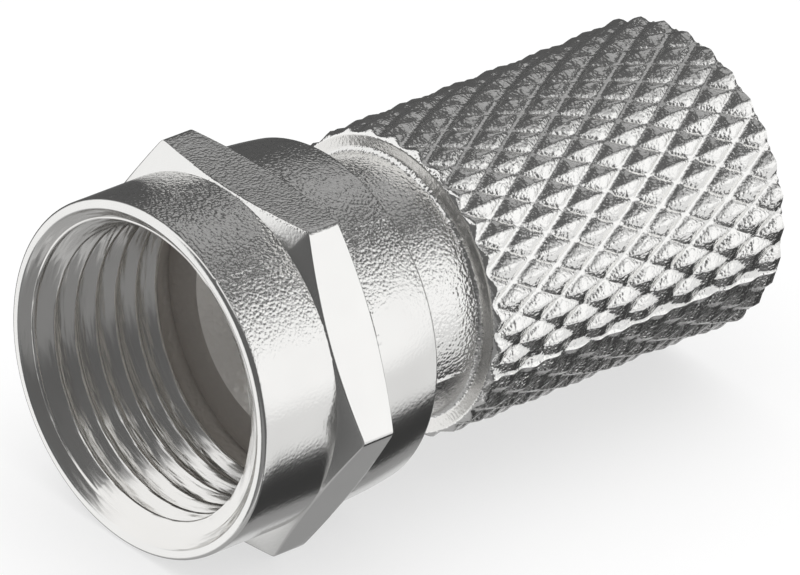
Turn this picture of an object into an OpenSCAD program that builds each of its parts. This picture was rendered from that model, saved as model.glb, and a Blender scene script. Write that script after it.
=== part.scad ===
// Twist-on coaxial plug: a hex coupling nut that turns freely on a knurled sleeve.
// The part lies on one flat of the nut. Its axis runs along X, from the nut's mouth to the cable end.
// Lengths along the axis are measured from the rim of the nut's mouth.

/* [Coupling nut] */
// Length of the nut along the axis
nut_length = 7.0; // [6.8:0.1:8]
// Width of the hexagon across its flats
across_flats = 11.0; // [10.95:0.05:12]
// Outside diameter of the round collar at the mouth
collar_d = 10.94; // [10.7:0.02:10.94]
// Distance from the rim to the front of the hexagon
hex_start = 2.85; // [2:0.05:3]
// Distance from the rim to the back of the hexagon
hex_end = 4.65; // [4.4:0.05:4.9]
// Slope of the hexagon's conical end faces, in degrees
hex_slope = 20; // [10:1:30]
// How far the domed rear of the nut falls below the collar
dome_drop = 0.17; // [0.1:0.01:0.2]
// Rounding of the rim's outer edge
rim_round = 0.1; // [0.05:0.01:0.2]
// Rounding of the nut's rear edge
rear_round = 0.15; // [0.05:0.01:0.15]

/* [Nut bore] */
// Diameter of the bore at the thread's root
thread_d = 9.6; // [9.5:0.05:9.7]
// Distance from the rim to the end of the threaded stretch
thread_end = 4.85; // [4:0.05:5.2]
// Diameter at the mouth of the countersink
mouth_d = 10.24; // [10:0.02:10.3]
// Diameter of the relief behind the thread, where the sleeve's flange turns
relief_d = 10.0; // [9.75:0.05:10.1]
// Thickness of the lip that holds the flange in the nut
lip_thickness = 0.3; // [0.2:0.05:0.5]

/* [Sleeve] */
// Diameter of the neck that the nut turns on
neck_d = 8.1; // [7.9:0.05:8.4]
// Length of neck between the nut and the shoulder
neck_exposed = 2.85; // [1:0.05:4]
// Thickness of the flange inside the nut
flange_thickness = 1.0; // [0.4:0.05:1.05]
// Radius of the fillet between the neck and the shoulder
neck_fillet = 0.2; // [0.1:0.05:0.35]
// Running gap between the nut and the sleeve, all round and end to end
running_gap = 0.08; // [0.05:0.01:0.1]

/* [Knurl] */
// Diameter over the tips of the diamonds
knurl_d = 9.64; // [9.5:0.02:10.4]
// Length of the knurled barrel
knurl_length = 11.7; // [8:0.1:16]
// Depth of the grooves between the diamonds
knurl_depth = 0.2; // [0.1:0.01:0.26]
// Number of grooves of each hand
knurl_starts = 30; // [20:1:36]
// Angle between the grooves and the axis, in degrees
knurl_angle = 30; // [25:1:40]
// Length over which the diamonds taper off at the cable end
knurl_taper = 0.1; // [0.1:0.05:0.4]
// Height of a diamond's shoulders, as a share of the height of its tip
knurl_fullness = 0.74; // [0.5:0.01:0.9]

/* [Cable bore] */
// Diameter of the bore that grips the cable's jacket
cable_d = 7.0; // [6.4:0.1:7.2]
// Diameter of the hole that the cable's insulated core passes through
core_d = 5.2; // [4.6:0.1:6]
// Diameter at the mouth of the core hole, on the flange's front face
core_mouth_d = 7.3; // [6.4:0.1:7.6]
// Distance from the flange's front face to the stop for the cable's jacket
jacket_stop = 2.2; // [2:0.1:3]
// Chamfer at the mouth of the cable bore
cable_chamfer = 0.35; // [0.1:0.05:0.5]

/* [Hidden] */
$fn = 96;

nickel = [0.80, 0.80, 0.79];
nickel_dark = [0.70, 0.70, 0.69];

// Nut
collar_r = collar_d / 2;
corner_r = across_flats / 2 / cos(30);
thread_r = thread_d / 2;
relief_r = relief_d / 2;
dome_length = nut_length - hex_end;
dome_r = (dome_length * dome_length + dome_drop * dome_drop) / (2 * dome_drop);

// Sleeve
neck_r = neck_d / 2;
flange_r = relief_r - running_gap;
flange_back = nut_length - lip_thickness - running_gap;
flange_front = flange_back - flange_thickness;
flange_edge = 0.1;
shoulder = nut_length + neck_exposed;
part_length = shoulder + knurl_length;

// Knurl: the diamonds lie on a grid of rings and columns, four steps to a diamond each way.
tip_r = knurl_d / 2;
root_r = tip_r - knurl_depth;
columns = 4 * knurl_starts;
diamond_length = PI * knurl_d / knurl_starts / tan(knurl_angle);
ring_step = diamond_length / 4;
full_rings = floor((knurl_length - knurl_taper) / ring_step);
shoulder_step = 0.03;
shoulder_inset = 0.1;
body_overlap = 1;

// Cable bore
cable_r = cable_d / 2;
core_r = core_d / 2;
core_mouth_r = core_mouth_d / 2;
stop = flange_front + jacket_stop;
past = 1;

// Points of an arc about [cx, cy], from angle a0 to angle a1
function arc(cx, cy, r, a0, a1, steps = 8) =
    [for (i = [0:steps]) let (a = a0 + (a1 - a0) * i / steps) [cx + r * cos(a), cy + r * sin(a)]];

// How far x is from the nearest whole number, from 0 to 0.5
function off_whole(x) = abs(x - round(x));

// Height of a diamond's side at share x of the way from one groove to the next
function flank(x) =
    let (t = off_whole(x))
    t < 0.25 ? 4 * t * knurl_fullness : knurl_fullness + 4 * (t - 0.25) * (1 - knurl_fullness);

// Radius of the knurl at distance s from the shoulder, in column c
function knurl_radius(s, c) =
    let (turn = c / 4, run = s / diamond_length)
    root_r + knurl_depth * min(flank(turn + run), flank(turn - run));

// Distances from the shoulder of the knurl's rings
knurl_rings = concat(
    [for (i = [0:full_rings]) i * ring_step],
    [knurl_length]
);

// Points of ring number i: the first and the last lie at the groove's root
function ring_points(i) =
    let (s = knurl_rings[i], end = i == 0 || i == len(knurl_rings) - 1)
    [for (c = [0:columns - 1]) let (a = 360 * c / columns, r = end ? root_r : knurl_radius(s, c))
        [r * cos(a), r * sin(a), shoulder + s]];

// Two triangles between rings i and i + 1 at column c, split along the nearer groove
function cell_faces(i, c) =
    let (
        next = (c + 1) % columns,
        a = i * columns + c,
        b = i * columns + next,
        d = (i + 1) * columns + c,
        e = (i + 1) * columns + next,
        along = (i + c) % 2 == 0
    )
    along ? [[a, e, b], [a, d, e]] : [[a, d, b], [b, d, e]];

// Stands the axis, drawn along Z, into the frame: mouth towards -X, a flat of the nut on the ground
module lay_down() {
    translate([-part_length / 2, 0, across_flats / 2])
        rotate([0, 90, 0])
            children();
}

// Body of the nut, solid: collar at the mouth, domed rear
module nut_round_body() {
    profile = concat(
        [[0, 0]],
        arc(collar_r - rim_round, rim_round, rim_round, -90, 0),
        arc(collar_r - dome_r, hex_end, dome_r, 0, asin((dome_length - rear_round) / dome_r)),
        arc(collar_r - dome_drop - rear_round, nut_length - rear_round, rear_round, 0, 90),
        [[0, nut_length]]
    );
    rotate_extrude()
        polygon(profile);
}

// Hexagon of the nut, with a flat down and conical end faces
module nut_hexagon() {
    reach = corner_r + past;
    rise = (reach - collar_r) * tan(hex_slope);
    intersection() {
        translate([0, 0, hex_start - past])
            rotate([0, 0, 30])
                cylinder(r = corner_r, h = hex_end - hex_start + 2 * past, $fn = 6);
        rotate_extrude()
            polygon([
                [0, hex_start],
                [collar_r, hex_start],
                [reach, hex_start + rise],
                [reach, hex_end - rise],
                [collar_r, hex_end],
                [0, hex_end]
            ]);
    }
}

// Everything that is open inside the nut: countersink, threaded stretch, relief and the lip's hole
module nut_hollow() {
    mouth_r = mouth_d / 2;
    lip_front = nut_length - lip_thickness;
    rotate_extrude()
        polygon([
            [0, -past],
            [mouth_r, -past],
            [mouth_r, 0],
            [thread_r, mouth_r - thread_r],
            [thread_r, thread_end],
            [relief_r, thread_end],
            [relief_r, lip_front],
            [neck_r + running_gap, lip_front],
            [neck_r + running_gap, nut_length + past],
            [0, nut_length + past]
        ]);
}

module coupling_nut() {
    color(nickel)
        lay_down()
            difference() {
                union() {
                    nut_round_body();
                    nut_hexagon();
                }
                nut_hollow();
            }
}

// Flange, neck and shoulder of the sleeve, solid, running on inside the knurled barrel
module sleeve_front() {
    face = shoulder - shoulder_step;
    profile = concat(
        [
            [0, flange_front],
            [flange_r - flange_edge, flange_front],
            [flange_r, flange_front + flange_edge],
            [flange_r, flange_back - flange_edge],
            [flange_r - flange_edge, flange_back],
            [neck_r, flange_back]
        ],
        arc(neck_r + neck_fillet, face - neck_fillet, neck_fillet, 180, 90),
        [
            [root_r - shoulder_inset, face],
            [root_r - shoulder_inset, shoulder + body_overlap],
            [0, shoulder + body_overlap]
        ]
    );
    rotate_extrude()
        polygon(profile);
}

// Barrel with crossed grooves that leave rounded diamonds standing
module knurled_barrel() {
    last = len(knurl_rings) - 1;
    count = len(knurl_rings) * columns;
    points = concat(
        [for (i = [0:last]) each ring_points(i)],
        [[0, 0, shoulder], [0, 0, part_length]]
    );
    sides = [for (i = [0:last - 1]) for (c = [0:columns - 1]) each cell_faces(i, c)];
    front = [for (c = [0:columns - 1]) [c, (c + 1) % columns, count]];
    back = [for (c = [0:columns - 1])
        [last * columns + (c + 1) % columns, last * columns + c, count + 1]];
    polyhedron(points, concat(sides, front, back));
}

// Way through the sleeve: core hole, stop for the jacket and the bore that grips it
module sleeve_hollow() {
    core_chamfer = core_mouth_r - core_r;
    rotate_extrude()
        polygon([
            [0, flange_front - past],
            [core_mouth_r, flange_front - past],
            [core_mouth_r, flange_front],
            [core_r, flange_front + core_chamfer],
            [core_r, stop],
            [cable_r, stop],
            [cable_r, part_length - cable_chamfer],
            [cable_r + cable_chamfer, part_length],
            [cable_r + cable_chamfer, part_length + past],
            [0, part_length + past]
        ]);
}

module knurled_sleeve() {
    color(nickel_dark)
        lay_down()
            difference() {
                union() {
                    sleeve_front();
                    knurled_barrel();
                }
                sleeve_hollow();
            }
}

coupling_nut();
knurled_sleeve();
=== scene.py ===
"""Looks of a twist-on coaxial plug: a nickel-plated hex nut on a knurled sleeve."""

import math

import bmesh
import bpy
from mathutils import Matrix, Vector, noise


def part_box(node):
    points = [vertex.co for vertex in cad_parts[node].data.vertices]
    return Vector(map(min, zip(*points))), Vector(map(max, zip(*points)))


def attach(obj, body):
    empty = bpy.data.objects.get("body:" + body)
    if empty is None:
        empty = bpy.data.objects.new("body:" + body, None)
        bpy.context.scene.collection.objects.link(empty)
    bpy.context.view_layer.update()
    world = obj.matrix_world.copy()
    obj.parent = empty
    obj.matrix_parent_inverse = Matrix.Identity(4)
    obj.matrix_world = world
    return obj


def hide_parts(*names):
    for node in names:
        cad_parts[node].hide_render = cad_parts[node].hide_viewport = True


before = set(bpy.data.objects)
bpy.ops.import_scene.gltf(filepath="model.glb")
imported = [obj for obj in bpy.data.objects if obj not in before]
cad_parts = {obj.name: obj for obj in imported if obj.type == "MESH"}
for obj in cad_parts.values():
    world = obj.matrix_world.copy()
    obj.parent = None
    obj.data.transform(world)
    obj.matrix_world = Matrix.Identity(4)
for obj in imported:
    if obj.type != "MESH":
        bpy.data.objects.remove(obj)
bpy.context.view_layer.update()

MM = 0.001
NUT_LOW, NUT_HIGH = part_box("coupling_nut")
SLEEVE_LOW, SLEEVE_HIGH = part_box("knurled_sleeve")

# The axis runs along X. Distances along it are in millimetres from the rim of the nut's mouth.
RIM_X = NUT_LOW.x
AXIS_Z = (NUT_LOW.z + NUT_HIGH.z) / 2

# Nut
FLAT_R = (NUT_HIGH.z - NUT_LOW.z) / 2 / MM
NUT_LENGTH = (NUT_HIGH.x - NUT_LOW.x) / MM
COLLAR_R = 5.47
HEX_START = 2.85
HEX_END = 4.65
HEX_SLOPE = math.tan(math.radians(20))
DOME_DROP = 0.17
MOUTH_R = 5.12
THREAD_R = 4.8
THREAD_END = 4.85
RELIEF_R = 5.0
LIP_FRONT = NUT_LENGTH - 0.3
LIP_R = 4.13
CREST_R = 4.4
PITCH = 0.794

# Sleeve
FLANGE_FRONT = (SLEEVE_LOW.x - RIM_X) / MM
FLANGE_BACK = FLANGE_FRONT + 1.0
FLANGE_R = 4.97
NECK_R = 4.05
SHOULDER = 9.85
PART_LENGTH = (SLEEVE_HIGH.x - RIM_X) / MM
TIP_R = 4.82
ROOT_R = 4.62
KNURL_STARTS = 30
DIAMOND = 2 * math.pi * TIP_R / KNURL_STARTS / math.tan(math.radians(30))
COLUMNS = 16 * KNURL_STARTS
RING_STEP = DIAMOND / 16
CORE_R = 2.6
CORE_MOUTH_R = 3.65
CABLE_R = 3.5
STOP = FLANGE_FRONT + 2.2


# ---------------------------------------------------------------- camera, lights and floor

def value_node(nodes, operation):
    """A Math node that does one operation."""
    node = nodes.new("ShaderNodeMath")
    node.operation = operation
    return node


def look_from(place, ahead, right, up):
    """A camera at a place, with its three directions given."""
    data = bpy.data.cameras.new("camera")
    data.lens = 565.4
    data.sensor_width = 36
    data.clip_start = 0.01
    data.clip_end = 20
    camera = bpy.data.objects.new("camera", data)
    turn = Matrix((right, up, [-c for c in ahead])).transposed()
    camera.matrix_world = Matrix.Translation(Vector(place) * MM) @ turn.to_4x4()
    bpy.context.scene.collection.objects.link(camera)
    bpy.context.scene.camera = camera


look_from(
    (-228.25, -221.48, 192.94),
    (0.6174, 0.6000, -0.5087),
    (0.7329, -0.6736, 0.0950),
    (0.2857, 0.4315, 0.8557),
)


def sky_direction(azimuth, height):
    """A direction by its azimuth, from +Y towards +X, and its height over the horizon, in degrees."""
    a, h = math.radians(azimuth), math.radians(height)
    return Vector((math.sin(a) * math.cos(h), math.cos(a) * math.cos(h), math.sin(h)))


# What stands in front of the white background, as the metal mirrors it, from the back to the front:
# azimuth, height, size of the even part, size with the soft edge, brightness
SURROUND = [
    # the dark half of the room, past the cable end, and the dark corner round the camera
    (90, 0, 86, 102, 0.10),
    (-148, 5, 42, 52, 0.11),
    (-111, 4, 38, 45, 0.11),
    (-103, -36, 18, 25, 0.12),
    (-97, 36, 20, 30, 0.12),
    (-129, -31, 18, 34, 0.24),
    # the table in the part's own shade
    (0, -90, 20, 42, 0.40),
    (54, -39, 8, 20, 0.66),
    (82, -53, 6, 14, 0.30),
    # soft panels over the part and beside it
    (67, 29, 5, 14, 0.45),
    (50, 38, 9, 14, 0.42),
    (78, 52, 8, 18, 0.38),
    (112, 24, 8, 18, 0.70),
    (148, 48, 10, 22, 0.50),
    (157, 36, 8, 18, 0.90),
    (124, 2, 11, 23, 0.98),
    (156, 8, 12, 24, 1.00),
    (152, -24, 12, 20, 0.90),
    (120, -16, 10, 20, 0.85),
    (140, -13, 12, 26, 0.82),
    (140, 14, 15, 28, 1.08),
    # dark flags
    (111, 48, 4, 12, 0.12),
    (114, -46, 13, 17, 0.045),
    (40, 17, 12, 14, 0.09),
]


def studio_world():
    world = bpy.data.worlds.new("studio")
    world.use_nodes = True
    bpy.context.scene.world = world
    tree = world.node_tree
    tree.nodes.clear()
    nodes, links = tree.nodes, tree.links
    where = nodes.new("ShaderNodeTexCoord")
    white_paper = nodes.new("ShaderNodeRGB")
    white_paper.outputs[0].default_value = (1, 1, 1, 1)
    light = white_paper.outputs[0]
    for azimuth, height, even, soft, brightness in SURROUND:
        facing = nodes.new("ShaderNodeVectorMath")
        facing.operation = "DOT_PRODUCT"
        facing.inputs[1].default_value = sky_direction(azimuth, height)
        links.new(where.outputs["Generated"], facing.inputs[0])
        edge = nodes.new("ShaderNodeMapRange")
        edge.interpolation_type = "SMOOTHSTEP"
        edge.inputs["From Min"].default_value = math.cos(math.radians(soft))
        edge.inputs["From Max"].default_value = math.cos(math.radians(even))
        links.new(facing.outputs["Value"], edge.inputs["Value"])
        mix = nodes.new("ShaderNodeMix")
        mix.data_type = "RGBA"
        mix.inputs["B"].default_value = (brightness, brightness, brightness, 1)
        links.new(edge.outputs["Result"], mix.inputs["Factor"])
        links.new(light, mix.inputs["A"])
        light = mix.outputs["Result"]
    mirrored = nodes.new("ShaderNodeBackground")
    links.new(light, mirrored.inputs["Color"])
    soft_light = nodes.new("ShaderNodeBackground")
    soft_light.inputs["Color"].default_value = (1, 1, 1, 1)
    soft_light.inputs["Strength"].default_value = 0.82
    white = nodes.new("ShaderNodeBackground")
    white.inputs["Color"].default_value = (1, 1, 1, 1)
    path = nodes.new("ShaderNodeLightPath")
    in_metal = nodes.new("ShaderNodeMath")
    in_metal.operation = "MAXIMUM"
    links.new(path.outputs["Is Glossy Ray"], in_metal.inputs[0])
    links.new(path.outputs["Is Transmission Ray"], in_metal.inputs[1])
    metal_mix = nodes.new("ShaderNodeMixShader")
    links.new(in_metal.outputs[0], metal_mix.inputs["Fac"])
    links.new(soft_light.outputs[0], metal_mix.inputs[1])
    links.new(mirrored.outputs[0], metal_mix.inputs[2])
    camera_mix = nodes.new("ShaderNodeMixShader")
    links.new(path.outputs["Is Camera Ray"], camera_mix.inputs["Fac"])
    links.new(metal_mix.outputs[0], camera_mix.inputs[1])
    links.new(white.outputs[0], camera_mix.inputs[2])
    output = nodes.new("ShaderNodeOutputWorld")
    links.new(camera_mix.outputs[0], output.inputs["Surface"])


studio_world()


def soft_lamp(name, place, size, power):
    """A square lamp that points at the middle of the part and isn't mirrored in it."""
    data = bpy.data.lights.new(name, "AREA")
    data.size = size
    data.energy = power
    lamp = bpy.data.objects.new(name, data)
    lamp.location = place
    lamp.rotation_euler = (-Vector(place)).to_track_quat("-Z", "Y").to_euler()
    lamp.visible_glossy = False
    bpy.context.scene.collection.objects.link(lamp)


soft_lamp("overhead_lamp", (0.1, 0.1, 0.9), 1.4, 6.0)

def floor_paint():
    """Pale paint that reads as white paper and still keeps the part's shadow."""
    paint = bpy.data.materials.new("white_floor")
    paint.use_nodes = True
    nodes, links = paint.node_tree.nodes, paint.node_tree.links
    shader = nodes["Principled BSDF"]
    shader.inputs["Base Color"].default_value = (0.9, 0.9, 0.9, 1)
    shader.inputs["Roughness"].default_value = 0.9
    shader.inputs["Specular IOR Level"].default_value = 0.0
    white = nodes.new("ShaderNodeEmission")
    path = nodes.new("ShaderNodeLightPath")
    in_metal = value_node(nodes, "MAXIMUM")
    links.new(path.outputs["Is Glossy Ray"], in_metal.inputs[0])
    links.new(path.outputs["Is Transmission Ray"], in_metal.inputs[1])
    in_view = value_node(nodes, "MAXIMUM")
    links.new(path.outputs["Is Camera Ray"], in_view.inputs[0])
    links.new(in_metal.outputs[0], in_view.inputs[1])
    paler = value_node(nodes, "MULTIPLY")
    paler.inputs[1].default_value = 0.6
    links.new(in_view.outputs[0], paler.inputs[0])
    mix = nodes.new("ShaderNodeMixShader")
    links.new(paler.outputs[0], mix.inputs["Fac"])
    links.new(shader.outputs[0], mix.inputs[1])
    links.new(white.outputs[0], mix.inputs[2])
    links.new(mix.outputs[0], nodes["Material Output"].inputs["Surface"])
    return paint


def lay_floor():
    """A plain floor just under the part. The metal mirrors the surround and not this floor."""
    bm = bmesh.new()
    bmesh.ops.create_grid(bm, x_segments=1, y_segments=1, size=1.5)
    data = bpy.data.meshes.new("floor")
    bm.to_mesh(data)
    bm.free()
    data.materials.append(floor_paint())
    floor = bpy.data.objects.new("floor", data)
    bpy.context.scene.collection.objects.link(floor)
    floor.location.z = NUT_LOW.z - 0.00001
    floor.visible_glossy = False


lay_floor()


# ---------------------------------------------------------------- finishes

def casting_grain_group():
    """Pebbled skin of a plated die casting: how high it stands, and a faint unevenness of its shine."""
    group = bpy.data.node_groups.new("casting_grain", "ShaderNodeTree")
    group.interface.new_socket("Grain size", in_out="INPUT", socket_type="NodeSocketFloat")
    group.interface.new_socket("Stretch", in_out="INPUT", socket_type="NodeSocketVector")
    group.interface.new_socket("Even below", in_out="INPUT", socket_type="NodeSocketFloat")
    group.interface.new_socket("Grainy above", in_out="INPUT", socket_type="NodeSocketFloat")
    group.interface.new_socket("Height", in_out="OUTPUT", socket_type="NodeSocketFloat")
    group.interface.new_socket("Cloud", in_out="OUTPUT", socket_type="NodeSocketFloat")
    nodes, links = group.nodes, group.links
    given = nodes.new("NodeGroupInput")
    out = nodes.new("NodeGroupOutput")
    where = nodes.new("ShaderNodeTexCoord")
    pebbles = nodes.new("ShaderNodeTexVoronoi")
    pebbles.feature = "F1"
    dimples = nodes.new("ShaderNodeTexNoise")
    dimples.inputs["Detail"].default_value = 1.0
    drawn_out = nodes.new("ShaderNodeVectorMath")
    drawn_out.operation = "MULTIPLY"
    links.new(where.outputs["Object"], drawn_out.inputs[0])
    links.new(given.outputs["Stretch"], drawn_out.inputs[1])
    links.new(drawn_out.outputs[0], pebbles.inputs["Vector"])
    links.new(drawn_out.outputs[0], dimples.inputs["Vector"])
    links.new(given.outputs["Grain size"], pebbles.inputs["Scale"])
    links.new(given.outputs["Grain size"], dimples.inputs["Scale"])
    skin = value_node(nodes, "SUBTRACT")
    links.new(dimples.outputs["Fac"], skin.inputs[0])
    links.new(pebbles.outputs["Distance"], skin.inputs[1])
    patches = nodes.new("ShaderNodeTexNoise")
    patches.inputs["Scale"].default_value = 700
    patches.inputs["Detail"].default_value = 2
    links.new(where.outputs["Object"], patches.inputs["Vector"])
    fade = nodes.new("ShaderNodeMapRange")
    fade.inputs["From Min"].default_value = 0.3
    fade.inputs["From Max"].default_value = 0.7
    fade.inputs["To Min"].default_value = 0.55
    links.new(patches.outputs["Fac"], fade.inputs["Value"])
    product = value_node(nodes, "MULTIPLY")
    links.new(skin.outputs[0], product.inputs[0])
    links.new(fade.outputs["Result"], product.inputs[1])
    place = nodes.new("ShaderNodeSeparateXYZ")
    links.new(where.outputs["Object"], place.inputs[0])
    side = nodes.new("ShaderNodeMapRange")
    side.inputs["To Min"].default_value = 0.12
    links.new(place.outputs["Z"], side.inputs["Value"])
    links.new(given.outputs["Even below"], side.inputs["From Min"])
    links.new(given.outputs["Grainy above"], side.inputs["From Max"])
    sided = value_node(nodes, "MULTIPLY")
    links.new(product.outputs[0], sided.inputs[0])
    links.new(side.outputs["Result"], sided.inputs[1])
    links.new(sided.outputs[0], out.inputs["Height"])
    links.new(patches.outputs["Fac"], out.inputs["Cloud"])
    return group


CASTING_GRAIN = casting_grain_group()


def nickel(name, tone, roughness, grain_size, grain_height, even_below=-2.0, grainy_above=-1.0,
           stretch=(1.0, 1.0, 1.0), metallic=1.0):
    """Nickel plate over a casting, its grain as bump, evened out on the side that was rubbed smooth."""
    material = bpy.data.materials.new(name)
    material.use_nodes = True
    nodes, links = material.node_tree.nodes, material.node_tree.links
    shader = nodes["Principled BSDF"]
    shader.inputs["Metallic"].default_value = metallic
    grain = nodes.new("ShaderNodeGroup")
    grain.node_tree = CASTING_GRAIN
    grain.inputs["Grain size"].default_value = grain_size
    grain.inputs["Stretch"].default_value = stretch
    grain.inputs["Even below"].default_value = even_below * MM
    grain.inputs["Grainy above"].default_value = grainy_above * MM
    colour = nodes.new("ShaderNodeMix")
    colour.data_type = "RGBA"
    colour.inputs["A"].default_value = (*[c * 0.94 for c in tone], 1)
    colour.inputs["B"].default_value = (*tone, 1)
    links.new(grain.outputs["Cloud"], colour.inputs["Factor"])
    links.new(colour.outputs["Result"], shader.inputs["Base Color"])
    dull = nodes.new("ShaderNodeMapRange")
    dull.inputs["To Min"].default_value = roughness * 1.2
    dull.inputs["To Max"].default_value = roughness * 0.8
    links.new(grain.outputs["Cloud"], dull.inputs["Value"])
    links.new(dull.outputs["Result"], shader.inputs["Roughness"])
    bump = nodes.new("ShaderNodeBump")
    bump.inputs["Distance"].default_value = grain_height * MM
    links.new(grain.outputs["Height"], bump.inputs["Height"])
    links.new(bump.outputs["Normal"], shader.inputs["Normal"])
    return material


CAST = nickel(
    "cast_nickel", tone=(0.86, 0.855, 0.84), roughness=0.155, grain_size=9500, grain_height=0.024,
    even_below=7.4, grainy_above=9.0,
)
SMOOTH = nickel(
    "smooth_nickel", tone=(0.88, 0.875, 0.86), roughness=0.18, grain_size=11000, grain_height=0.012,
    even_below=10.9, grainy_above=10.99,
)
THREAD = nickel(
    "thread_nickel", tone=(0.88, 0.87, 0.85), roughness=0.19, grain_size=11000, grain_height=0.018,
    stretch=(1.0, 0.09, 0.09),
)
# Painted light: a pale, half-diffuse copy of the nickel for the relief and the lip inside the nut, to
# make up for the shade that falls there.
RELIEF = nickel(
    "relief_nickel_painted_light", tone=(0.84, 0.80, 0.755), roughness=0.46, grain_size=4500, grain_height=0.040,
    metallic=0.35,
)
NECK = nickel(
    "neck_nickel", tone=(0.87, 0.865, 0.85), roughness=0.16, grain_size=9500, grain_height=0.021,
)
# Painted shade: a darker, half-metal copy of the nickel for the flange and the neck within the nut,
# standing in for the shade that falls inside it.
INSIDE_SHADE_PAINTED = nickel(
    "inner_nickel_painted_shade", tone=(0.56, 0.53, 0.50), roughness=0.40, grain_size=4500, grain_height=0.040,
    metallic=0.5,
)
KNURL = nickel(
    "knurl_nickel", tone=(0.92, 0.915, 0.90), roughness=0.16, grain_size=9500, grain_height=0.013,
)
# Painted light: a pale, half-diffuse copy of the nickel for the core hole, which is lit only through the
# mouth, to brighten it.
CORE = nickel(
    "core_nickel_painted_light", tone=(0.88, 0.85, 0.81), roughness=0.34, grain_size=5000, grain_height=0.045,
    metallic=0.5,
)
FACE = nickel(
    "shoulder_nickel", tone=(0.84, 0.83, 0.81), roughness=0.20, grain_size=9000, grain_height=0.006,
)
BORE = nickel(
    "bore_nickel", tone=(0.84, 0.83, 0.81), roughness=0.24, grain_size=8000, grain_height=0.014,
    stretch=(1.0, 0.12, 0.12),
)


# ---------------------------------------------------------------- shaping on the axis

def on_axis(s, r, turn=0.0):
    """The point at distance s along the axis, radius r and turn in degrees, from the top to the front."""
    a = math.radians(turn)
    return Vector((RIM_X + s * MM, -r * MM * math.sin(a), AXIS_Z + r * MM * math.cos(a)))


def off_axis(point):
    """Distance along the axis, radius and turn of a point."""
    y, z = point.y, point.z - AXIS_Z
    return (point.x - RIM_X) / MM, math.hypot(y, z) / MM, math.degrees(math.atan2(-y, z)) % 360


def draw(bm, profile):
    """The closed outline of a profile, beside the axis: its vertices and edges."""
    verts = [bm.verts.new(on_axis(s, r)) for s, r in profile]
    pairs = zip(verts, verts[1:] + verts[:1])
    return verts + [bm.edges.new(pair) for pair in pairs]


def turned(profile, steps):
    """A ring turned from a closed profile."""
    bm = bmesh.new()
    bmesh.ops.spin(
        bm, geom=draw(bm, profile), cent=(0, 0, AXIS_Z), axis=(1, 0, 0),
        dvec=(0, 0, 0), angle=2 * math.pi, steps=steps, use_merge=True, use_duplicate=False,
    )
    return bm


def wound(section, pitch, turns, steps):
    """A ridge wound along the bore from its closed section, with so many steps to a turn."""
    bm = bmesh.new()
    bmesh.ops.spin(
        bm, geom=draw(bm, section), cent=(0, 0, AXIS_Z), axis=(1, 0, 0),
        dvec=(pitch * MM / steps, 0, 0), angle=2 * math.pi * turns, steps=int(steps * turns),
        use_merge=False, use_duplicate=False,
    )
    bmesh.ops.holes_fill(bm, edges=bm.edges, sides=12)
    return bm


def reshape(bm, rule):
    """Moves each vertex to the distance and radius that the rule gives for its place."""
    for v in bm.verts:
        s, r, turn = off_axis(v.co)
        new_s, new_r = rule(s, r, turn)
        v.co = on_axis(new_s, new_r, turn)


def rounded(start_s, start_r, size, first, last, steps=5):
    """Points of a fillet about a centre, from the first angle to the last."""
    points = []
    for i in range(steps + 1):
        a = math.radians(first + (last - first) * i / steps)
        points.append((start_s + size * math.sin(a), start_r + size * math.cos(a)))
    return points


def paint_faces(bm, finishes, choose):
    """Gives each face the finish that is chosen for its middle."""
    for face in bm.faces:
        s, r, turn = off_axis(face.calc_center_median())
        face.material_index = finishes.index(choose(s, r, face))


def piece(name, bm, body, node, materials, crease=32):
    """Makes the finished piece: doubles merged, faces outwards, smooth between its sharp edges."""
    bmesh.ops.remove_doubles(bm, verts=bm.verts, dist=1e-8)
    bmesh.ops.recalc_face_normals(bm, faces=bm.faces)
    for face in bm.faces:
        face.smooth = True
    data = bpy.data.meshes.new(name)
    bm.to_mesh(data)
    bm.free()
    data.set_sharp_from_angle(angle=math.radians(crease))
    for material in materials:
        data.materials.append(material)
    made = bpy.data.objects.new(name, data)
    bpy.context.scene.collection.objects.link(made)
    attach(made, body)
    if node:
        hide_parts(node)
    return made


# ---------------------------------------------------------------- coupling nut

NUT_SEAMS = (30.0, 210.0)
SLEEVE_SEAMS = (102.0, 282.0)


def seam_height(turn, r, seams, width):
    """How strongly the parting line's ridge shows at this turn, from 0 to 1."""
    best = min(abs((turn - seam + 180) % 360 - 180) for seam in seams)
    away = math.radians(best) * r / width
    return math.exp(-away * away)


def hexagon_r(turn):
    """Radius of the hexagon at this turn, its corners a little rounded."""
    off = (turn + 30) % 60 - 30
    sharp = FLAT_R / math.cos(math.radians(off))
    corner = FLAT_R / math.cos(math.radians(30))
    return min(sharp, corner - 0.02) - 0.012 * math.exp(-((30 - abs(off)) / 0.8) ** 2)


def dome_r(s):
    """Radius of the domed rear of the nut."""
    length = NUT_LENGTH - HEX_END
    radius = (length ** 2 + DOME_DROP ** 2) / (2 * DOME_DROP)
    return COLLAR_R - radius + math.sqrt(radius ** 2 - (s - HEX_END) ** 2)


# The hexagon is drawn as a round band outside everything else, from share 0 to share 1 of its length
BAND_START = 10
BAND_R = 6.6


def nut_rule(s, r, turn):
    """Turns the round band into the hexagon, and raises the parting line's ridge."""
    if r > BAND_R - 0.1:
        share = s - BAND_START
        out = hexagon_r(turn)
        rise = (out - COLLAR_R) * HEX_SLOPE
        length = HEX_END - HEX_START - 2 * rise
        near = min(share, 1 - share) * length
        round_off = 0.05 * max(0.0, 1 - near / 0.05) ** 2 if near < 0.05 else 0.0
        s = HEX_START + rise + share * length
        r = out - round_off
    elif r > MOUTH_R + 0.05 and s > 0.1:
        ridge = seam_height(turn, r, NUT_SEAMS, 0.05)
        if s < HEX_START:
            r += (0.014 + 0.03 * math.exp(-(s / 0.12) ** 2)) * ridge
        elif s > HEX_END:
            r += 0.01 * ridge + (0.03 * ridge if s > NUT_LENGTH - 0.12 else 0)
    return s, r


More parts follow.
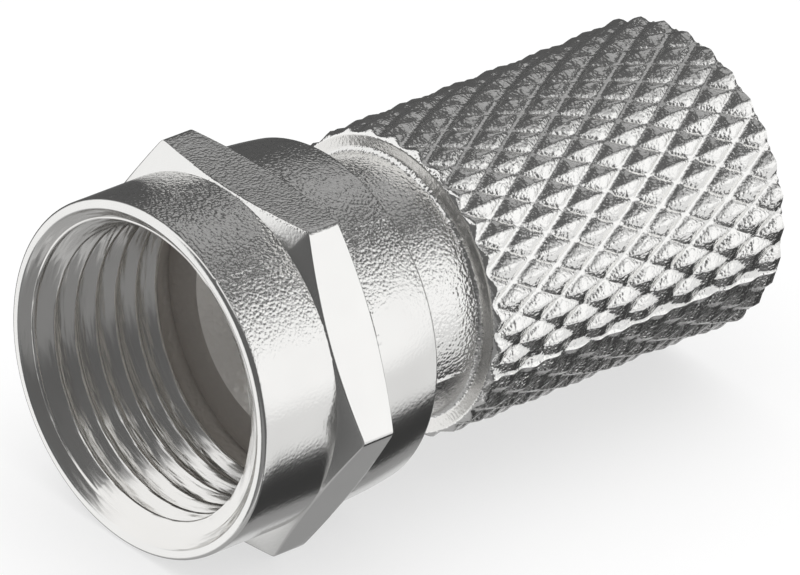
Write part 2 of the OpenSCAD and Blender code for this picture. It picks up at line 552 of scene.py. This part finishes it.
def nut_finish(s, r, face):
    """Smooth flats and rim, a thread and a relief inside, the relief and lip in a paler nickel that is
    painted light, and cast skin on the rest.
    """
    if r < MOUTH_R - 0.01 or s > 1 and r < RELIEF_R + 0.1:
        if s > NUT_LENGTH - 0.05:
            return CAST
        return RELIEF if s > THREAD_END or r < LIP_R + 0.01 else THREAD
    on_hexagon = HEX_START < s < HEX_END and r > COLLAR_R + 0.02
    if s < 0.1 or on_hexagon and abs(face.normal.x) < 0.5:
        return SMOOTH
    return CAST


def coupling_nut():
    """The nut's shell: collar, hexagon, domed rear, countersink, bore, relief and lip."""
    rim_round = 0.16
    rear_round = 0.15
    profile = rounded(0.1, MOUTH_R + 0.11, 0.1, 200, 270, 4)
    profile += rounded(rim_round, COLLAR_R - rim_round, rim_round, -90, 0, 6)
    profile += [(s, COLLAR_R) for s in (0.6, 1.2, 1.8, 2.4, 2.84)]
    profile += [(HEX_START, COLLAR_R)]
    band = (0.0, 0.012, 0.03, 0.06, 0.5, 0.94, 0.97, 0.988, 1.0)
    profile += [(BAND_START + share, BAND_R) for share in band]
    profile += [(HEX_END, COLLAR_R)]
    rear = NUT_LENGTH - rear_round
    dome = [HEX_END + (rear - HEX_END) * i / 8 for i in range(1, 9)]
    profile += [(s, dome_r(s)) for s in dome]
    profile += rounded(rear, dome_r(rear) - rear_round, rear_round, 15, 90, 4)
    profile += [(NUT_LENGTH, LIP_R), (LIP_FRONT, LIP_R), (LIP_FRONT, RELIEF_R)]
    profile += [(THREAD_END, RELIEF_R), (THREAD_END, THREAD_R)]
    profile += [(MOUTH_R - THREAD_R, THREAD_R), (0.12, MOUTH_R - 0.06)]
    bm = turned(profile, 720)
    reshape(bm, nut_rule)
    finishes = [CAST, SMOOTH, THREAD, RELIEF]
    paint_faces(bm, finishes, nut_finish)
    return piece("coupling_nut_shell", bm, "nut", "coupling_nut", finishes)


# Where the thread's ridge sinks into the wall, and how far what has sunk is squeezed together
MOUTH_SQUEEZE_FROM = 0.3
MOUTH_SQUEEZE = 0.1
MOUTH_SINK_TO = 0.26
MOUTH_SLOPE = 2.8
END_SQUEEZE_FROM = THREAD_END - 0.05
END_SQUEEZE = 0.03
END_SLOPE = 3
SUNK = 0.02


def thread_rule(s, r, turn):
    """Sinks the ridge into the wall at the countersink and at the end of the threaded stretch.

    What has sunk is squeezed together and not clamped to one place, so that the ridge stays closed.
    """
    limit = 0.0
    if s > END_SQUEEZE_FROM:
        limit = min(THREAD_R + 0.1, CREST_R + END_SLOPE * (s - END_SQUEEZE_FROM))
        s = END_SQUEEZE_FROM + END_SQUEEZE * (s - END_SQUEEZE_FROM)
    elif s < MOUTH_SQUEEZE_FROM:
        s = MOUTH_SQUEEZE_FROM + MOUTH_SQUEEZE * (s - MOUTH_SQUEEZE_FROM)
    if s < MOUTH_SINK_TO:
        limit = MOUTH_R + 0.04
    elif s < THREAD_END / 2:
        limit = THREAD_R + 0.09 - MOUTH_SLOPE * (s - MOUTH_SINK_TO)
    return s, r if r >= limit else limit - SUNK * (limit - r)


def nut_thread():
    """The screw thread's ridge, wound along the bore and sunk into it at both ends."""
    start = -0.6
    half = 0.335
    flat = 0.05
    section = [
        (start - flat - half - 0.03, THREAD_R + 0.05), (start - flat - half, THREAD_R),
        (start - flat - 0.02, CREST_R + 0.035), (start - flat + 0.02, CREST_R + 0.005),
        (start, CREST_R),
        (start + flat - 0.02, CREST_R + 0.005), (start + flat + 0.02, CREST_R + 0.035),
        (start + flat + half, THREAD_R), (start + flat + half + 0.03, THREAD_R + 0.05),
    ]
    bm = wound(section, PITCH, turns=7.2, steps=160)
    reshape(bm, thread_rule)
    return piece("nut_thread_ridge", bm, "nut", None, [THREAD])


# ---------------------------------------------------------------- sleeve

# The knurl's grooves: half the width of their floor and the height of their wall, for each hand
FIRST_FLOOR, FIRST_WALL = 0.09, 0.36
SECOND_FLOOR, SECOND_WALL = 0.02, 0.30
WALL_WIDTH = 0.0625
FLOOR_RISE = 0.04
SOFT_ABOVE = 0.72
UNEVEN = 0.10


def groove_share(x, floor_half, wall):
    """Height of a diamond's side: the groove's floor, its steep wall, then the long rise to the tip."""
    away = abs(x - round(x))
    if away < floor_half:
        return FLOOR_RISE * away / floor_half
    if away < floor_half + WALL_WIDTH:
        return FLOOR_RISE + (wall - FLOOR_RISE) * (away - floor_half) / WALL_WIDTH
    return wall + (1 - wall) * (away - floor_half - WALL_WIDTH) / (0.5 - floor_half - WALL_WIDTH)


def knurl_grid(s, turn):
    """Place on the knurl's grid, counted in grooves of either hand: whole numbers lie in a groove."""
    across = turn / (360 / KNURL_STARTS)
    along = (s - SHOULDER) / DIAMOND
    return across + along, across - along


def knurl_height(s, turn):
    """Height of the knurl over its grooves, from 0 to 1, before the dies' draft."""
    a, b = knurl_grid(s, turn)
    share = min(groove_share(a, FIRST_FLOOR, FIRST_WALL), groove_share(b, SECOND_FLOOR, SECOND_WALL))
    share -= 0.9 * max(0.0, share - SOFT_ABOVE) ** 2
    size = 1 + UNEVEN * noise.noise(Vector((math.floor(a) * 3.1, math.floor(b) * 5.7, 0.5)))
    end = min(1.0, max(0.0, (PART_LENGTH - s) / 0.12))
    start = min(1.0, max(0.0, (s - SHOULDER) / 0.25))
    fade = (1 - (1 - start) ** 2) * (1 - (1 - end) ** 2)
    return min(1.0, max(0.0, share * size)) * fade


def drafted(ring):
    """Fills what lies behind a diamond towards the parting line, so that both dies can be drawn off."""
    count = len(ring)
    quarter = count // 4
    for seam in SLEEVE_SEAMS:
        pull = round((seam - 90) / 360 * count)
        for way in (1, -1):
            reach = 0.0
            for k in range(1, quarter + 1):
                lean = math.sin(math.pi / 2 * k / quarter)
                c = (pull + way * k) % count
                reach = max(reach, ring[c] * lean)
                ring[c] = max(ring[c], reach / lean)
    return ring


def knurl_ring(s):
    """Radius of the knurled surface all round at distance s, with the flash left at the parting line."""
    flare = 0.10 * max(0.0, 1 - (PART_LENGTH - s) / 4) ** 2
    ring = drafted([ROOT_R + flare + (TIP_R - ROOT_R) * knurl_height(s, 360 * c / COLUMNS)
                    for c in range(COLUMNS)])
    if SHOULDER + 0.1 < s < PART_LENGTH - 0.05:
        for seam in SLEEVE_SEAMS:
            torn = noise.noise(Vector((s * 2.7, seam, 1.5)))
            ring[round(seam / 360 * COLUMNS)] += 0.035 + 0.045 * torn
    return ring


RINGS = {}


def sleeve_rule(s, r, turn):
    """Raises the knurl on the barrel and the parting line's ridge on the neck."""
    if r > ROOT_R - 0.01 and s >= SHOULDER - 1e-4:
        key = round(s, 4)
        if key not in RINGS:
            RINGS[key] = knurl_ring(s)
        r = RINGS[key][round(turn / 360 * COLUMNS) % COLUMNS]
    elif NECK_R - 0.01 < r < ROOT_R and LIP_FRONT < s < SHOULDER - 0.3:
        r += 0.045 * seam_height(turn, r, SLEEVE_SEAMS, 0.04)
    return s, r


def split_along_grooves(bm):
    """Divides the knurl's quads along the groove that runs nearest."""
    for face in [f for f in bm.faces if len(f.verts) == 4]:
        s, r, turn = off_axis(face.calc_center_median())
        if s < SHOULDER or r < ROOT_R - 0.02:
            continue
        a, b = knurl_grid(s, turn)
        near_a, near_b = abs(a - round(a)), abs(b - round(b))
        places = [off_axis(v.co) for v in face.verts]
        key = [(((p[2] - turn + 180) % 360 - 180) > 0) == (p[0] > s) for p in places]
        wanted = near_b < near_a
        ends = [v for v, same in zip(face.verts, key) if same == wanted]
        if len(ends) == 2:
            bmesh.utils.face_split(face, ends[0], ends[1])


def sleeve_finish(s, r, face):
    """Knurl, neck and shoulder outside, and the flange, the core hole and the cable's bore inside."""
    # The core hole takes the pale, half-diffuse nickel: painted light for a hole in shade.
    if r < CORE_MOUTH_R and s < STOP:
        return CORE
    if s > STOP - 0.01 and r < CABLE_R + 0.3:
        return BORE
    if s > PART_LENGTH - 0.01:
        return FACE
    # Painted shade: the flange and the neck within the nut take the darkened nickel.
    if s < LIP_FRONT or r < NECK_R - 0.2:
        return INSIDE_SHADE_PAINTED
    if s > SHOULDER - 0.02:
        return KNURL
    if s > SHOULDER - 0.06 and r > NECK_R + 0.15:
        return FACE
    return NECK


def knurled_sleeve():
    """The sleeve in one piece: flange, neck, shoulder, knurled barrel and the way through."""
    edge = 0.1
    fillet = 0.2
    face = SHOULDER - 0.03
    profile = [(FLANGE_FRONT + 0.95, CORE_R), (FLANGE_FRONT, CORE_MOUTH_R)]
    profile += [(FLANGE_FRONT, FLANGE_R - edge), (FLANGE_FRONT + edge, FLANGE_R)]
    profile += [(FLANGE_BACK - edge, FLANGE_R), (FLANGE_BACK, FLANGE_R - edge)]
    profile += [(FLANGE_BACK, NECK_R)]
    profile += [(s, NECK_R) for s in (7.2, 7.7, 8.2, 8.7, 9.2)]
    profile += rounded(face - fillet, NECK_R + fillet, fillet, 180, 90, 6)
    profile += [(face, ROOT_R - 0.1), (face, ROOT_R - 0.05)]
    rings = int((PART_LENGTH - SHOULDER - 0.02) / RING_STEP)
    profile += [(SHOULDER, ROOT_R), (SHOULDER + 0.03, ROOT_R)]
    profile += [(SHOULDER + i * RING_STEP, ROOT_R) for i in range(1, rings + 1)]
    profile += [(PART_LENGTH, ROOT_R - 0.03)]
    chamfer = 0.35
    profile += [(PART_LENGTH, CABLE_R + chamfer), (PART_LENGTH - chamfer, CABLE_R)]
    profile += [(STOP, CABLE_R), (STOP, CORE_R)]
    bm = turned(profile, COLUMNS)
    reshape(bm, sleeve_rule)
    split_along_grooves(bm)
    finishes = [NECK, INSIDE_SHADE_PAINTED, KNURL, CORE, FACE, BORE]
    paint_faces(bm, finishes, sleeve_finish)
    return piece("knurled_sleeve_body", bm, "sleeve", "knurled_sleeve", finishes,
                 crease=40)


GRIP_HEIGHT = 0.18
GRIP_PITCH = 1.0
GRIP_START = STOP + 0.1
GRIP_END = PART_LENGTH - 0.5


def grip_rule(s, r, turn):
    """Lets the gripping thread rise out of the bore's wall at its start and sink back at its end."""
    run_in = min(1.0, max(0.0, min(s - GRIP_START, GRIP_END - s) / 0.6))
    root = CABLE_R + 0.05
    return s, root - (root - r) * run_in


def gripping_thread():
    """The low ridge inside the sleeve that cuts into the cable's jacket."""
    crest = CABLE_R - GRIP_HEIGHT
    section = [
        (GRIP_START, CABLE_R + 0.05), (GRIP_START + 0.02, CABLE_R),
        (GRIP_START + 0.16, crest + 0.01), (GRIP_START + 0.2, crest), (GRIP_START + 0.24, crest + 0.01),
        (GRIP_START + 0.38, CABLE_R), (GRIP_START + 0.4, CABLE_R + 0.05),
    ]
    bm = wound(section, GRIP_PITCH, turns=(GRIP_END - GRIP_START - 0.4) / GRIP_PITCH, steps=120)
    reshape(bm, grip_rule)
    return piece("cable_gripping_thread", bm, "sleeve", None, [BORE])


coupling_nut()
nut_thread()
knurled_sleeve()
gripping_thread()

bpy.context.scene.view_settings.view_transform = "Standard"
